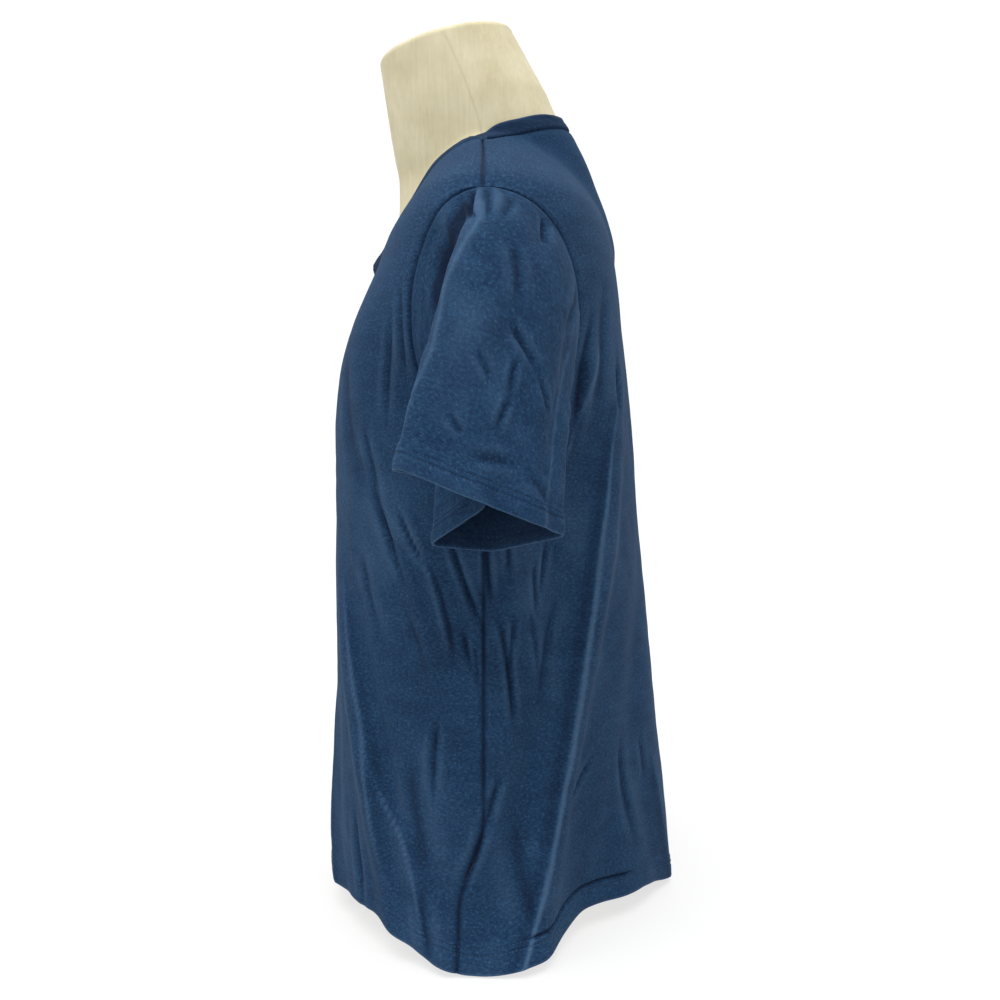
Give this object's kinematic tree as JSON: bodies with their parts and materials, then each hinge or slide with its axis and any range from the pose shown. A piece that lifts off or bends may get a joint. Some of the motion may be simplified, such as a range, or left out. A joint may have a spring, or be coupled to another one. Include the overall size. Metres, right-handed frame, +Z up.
{
  "type": "v-neck t-shirt on a dress form",
  "caption": "Men's short-sleeved v-neck t-shirt in heathered jersey, hanging on a limbless cloth-covered dress form with a flat base.",
  "frame": {"origin": "on the surface it stands on, under the middle of the whole", "axes": "+Z up, -Y the wearer's front, +X the wearer's left"},
  "size_m": [0.5868, 0.3213, 0.7997],
  "materials": {
    "jersey": "matte heathered knit",
    "neckband_jersey": "matte knit",
    "form_cover": "matte plain weave"
  },
  "bodies": {
    "root": {"front": "jersey", "back": "jersey", "sleeve_left": "jersey", "sleeve_right": "jersey", "neckband": "neckband_jersey", "dress_form": "form_cover"}
  },
  "joints": []
}
